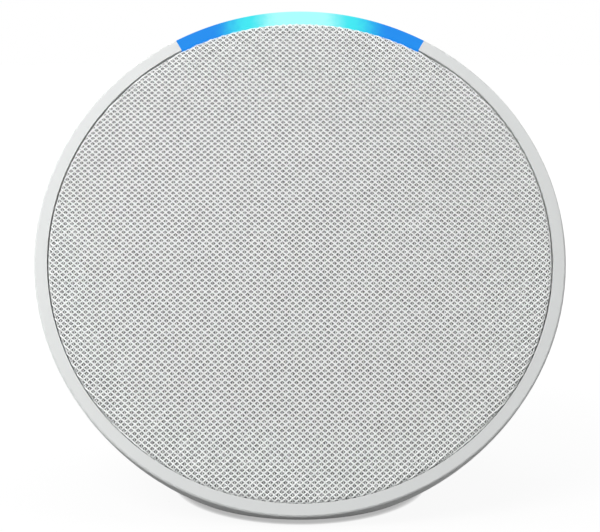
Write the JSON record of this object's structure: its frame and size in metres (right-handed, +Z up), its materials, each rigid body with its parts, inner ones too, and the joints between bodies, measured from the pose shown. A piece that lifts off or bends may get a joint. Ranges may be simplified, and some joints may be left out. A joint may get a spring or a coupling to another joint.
{
  "type": "smart speaker",
  "caption": "Half-dome smart speaker: leaning round fabric front in a flat rim, lit bar in the rim's top, push buttons on the dome behind it, supply inlet low at the back, rubber foot.",
  "frame": {"origin": "middle of the bounding box, on the table under the foot", "axes": "+Z up, the fabric front faces -Y and leans back, +X to the right of a person who looks at the front"},
  "size_m": [0.099, 0.0829, 0.0909],
  "materials": {
    "housing_plastic": "fine satin moulding",
    "button_plastic": "fine satin moulding",
    "grille_fabric": "white yarn over grey",
    "light_diffuser": "milky diffuser, lit",
    "dark_plastic": "moulded",
    "grille_plastic": "moulded",
    "foam": "closed-cell foam",
    "foot_rubber": "soft silicone",
    "soft_rubber": "moulded rubber",
    "board_laminate": "green solder mask",
    "white_laminate": "white solder mask",
    "screw_steel": "zinc plated",
    "basket_steel": "black stamped steel",
    "motor_steel": "zinc plated",
    "magnet_alloy": "nickel plated",
    "cone_paper": "coated pulp",
    "spider_cloth": "resin-dipped cloth",
    "former_foil": "foil",
    "coil_copper": "enamelled copper",
    "chip_resin": "moulded resin",
    "shield_tin": "tinned sheet",
    "thermal_grey": "soft pad",
    "sink_aluminium": "extruded",
    "antenna_tin": "tinned sheet",
    "coil_ferrite": "pressed ferrite",
    "capacitor_can": "drawn can",
    "socket_plastic": "natural nylon",
    "jack_plastic": "moulded",
    "pin_brass": "plated",
    "lamp_resin": "clear resin, lit",
    "ribbon_film": "flat cable film",
    "wire_sleeve": "stranded wire sleeve",
    "switch_steel": "stamped cover",
    "mic_can": "gilt can"
  },
  "bodies": {
    "housing": {"baffle": "dark_plastic", "baffle_screws": "screw_steel", "baffle_seal": "foam", "base_screws": "screw_steel", "board_screws": "screw_steel", "board_sockets": "socket_plastic", "board_tray": "dark_plastic", "button_board": "board_laminate", "button_board_screws": "screw_steel", "button_ribbon": "ribbon_film", "driver_basket": "basket_steel", "driver_gasket": "foam", "driver_magnet": "magnet_alloy", "driver_screws": "screw_steel", "driver_spider": "spider_cloth", "driver_surround": "soft_rubber", "driver_terminals": "board_laminate", "driver_wires": "wire_sleeve", "filter_capacitors": "capacitor_can", "foot_pad": "foot_rubber", "grille_cloth": "grille_fabric", "grille_frame": "grille_plastic", "heat_sink": "sink_aluminium", "jack_pin": "pin_brass", "led_board": "white_laminate", "led_ribbon": "ribbon_film", "leds": "lamp_resin", "light_bar": "light_diffuser", "magnet_cup": "motor_steel", "main_board": "board_laminate", "memory_chip": "chip_resin", "mic_gaskets": "soft_rubber", "microphones": "mic_can", "pole_plate": "motor_steel", "power_coils": "coil_ferrite", "power_jack": "jack_plastic", "processor_chip": "chip_resin", "radio_antennas": "antenna_tin", "rear_housing": "housing_plastic", "shield_can": "shield_tin", "switch_bodies": "switch_steel", "thermal_pad": "thermal_grey"},
    "cone": {"driver_cone": "cone_paper", "dust_cap": "cone_paper", "coil_former": "former_foil", "coil_winding": "coil_copper"},
    "volume_down": {"volume_down_button": "button_plastic", "volume_down_plunger": "dark_plastic"},
    "mic_mute": {"mic_mute_button": "button_plastic", "mic_mute_plunger": "dark_plastic"},
    "volume_up": {"volume_up_button": "button_plastic", "volume_up_plunger": "dark_plastic"}
  },
  "joints": [
    {"name": "cone_travel", "type": "slide", "parent": "housing", "child": "cone", "axis": [0, -0.8969, 0.4423], "range_m": [-0.002, 0.002], "stiffness_N_per_m": 1000, "deforming": ["driver_surround", "driver_spider"]},
    {"name": "volume_down_press", "type": "slide", "parent": "housing", "child": "volume_down", "axis": [0, -0.642, -0.7667], "range_m": [0, 0.0004], "stiffness_N_per_m": 800},
    {"name": "mic_mute_press", "type": "slide", "parent": "housing", "child": "mic_mute", "axis": [0, -0.642, -0.7667], "range_m": [0, 0.0004], "stiffness_N_per_m": 800},
    {"name": "volume_up_press", "type": "slide", "parent": "housing", "child": "volume_up", "axis": [0, -0.642, -0.7667], "range_m": [0, 0.0004], "stiffness_N_per_m": 800}
  ]
}
